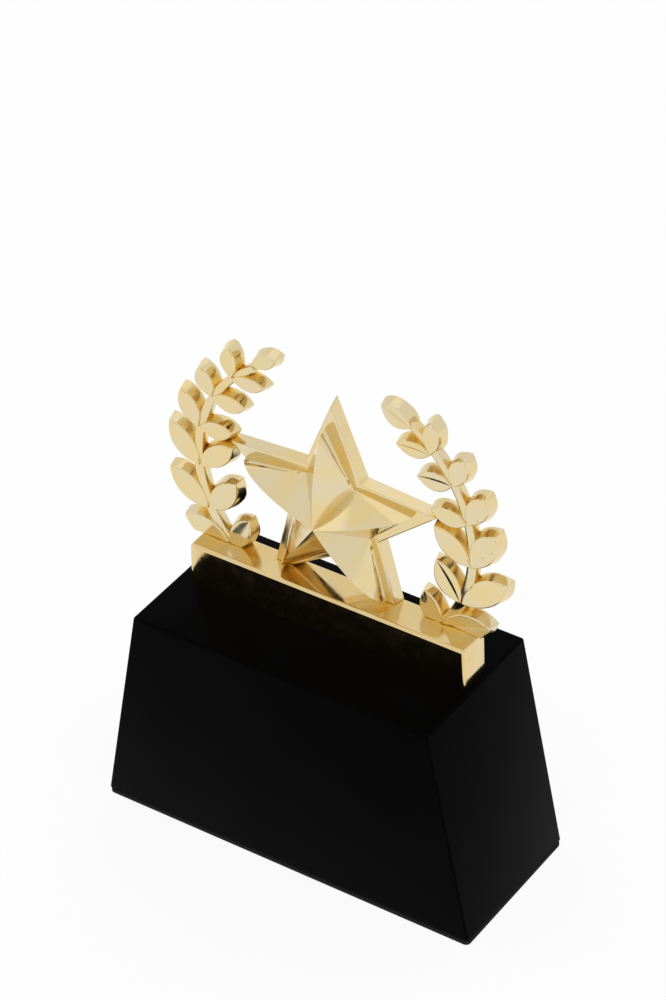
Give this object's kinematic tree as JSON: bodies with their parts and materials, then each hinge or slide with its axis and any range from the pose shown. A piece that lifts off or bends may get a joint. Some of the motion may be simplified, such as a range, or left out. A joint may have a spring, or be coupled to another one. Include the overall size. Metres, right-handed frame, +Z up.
{
  "type": "star trophy",
  "caption": "Desk trophy: a faceted gilt star between two laurel branches on a gold rail, on a black block with sloping ends.",
  "frame": {"origin": "middle of the underside, on the table", "axes": "+Z up, -Y towards the front (the side the star's peak points to), +X along the rail to the viewer's right"},
  "size_m": [0.12, 0.049, 0.1496],
  "materials": {
    "black_lacquer": "satin",
    "felt": "matte",
    "gilt_rail": "polished",
    "gilt": "polished",
    "steel": "satin"
  },
  "bodies": {
    "root": {"base_block": "black_lacquer", "base_pad": "felt", "rail": "gilt_rail", "rail_screws": "steel", "rail_washers": "steel", "star_plate": "gilt", "star_relief": "gilt", "relief_screws": "steel", "dowel_pins": "steel", "laurel_left": "gilt", "laurel_right": "gilt"}
  },
  "joints": []
}
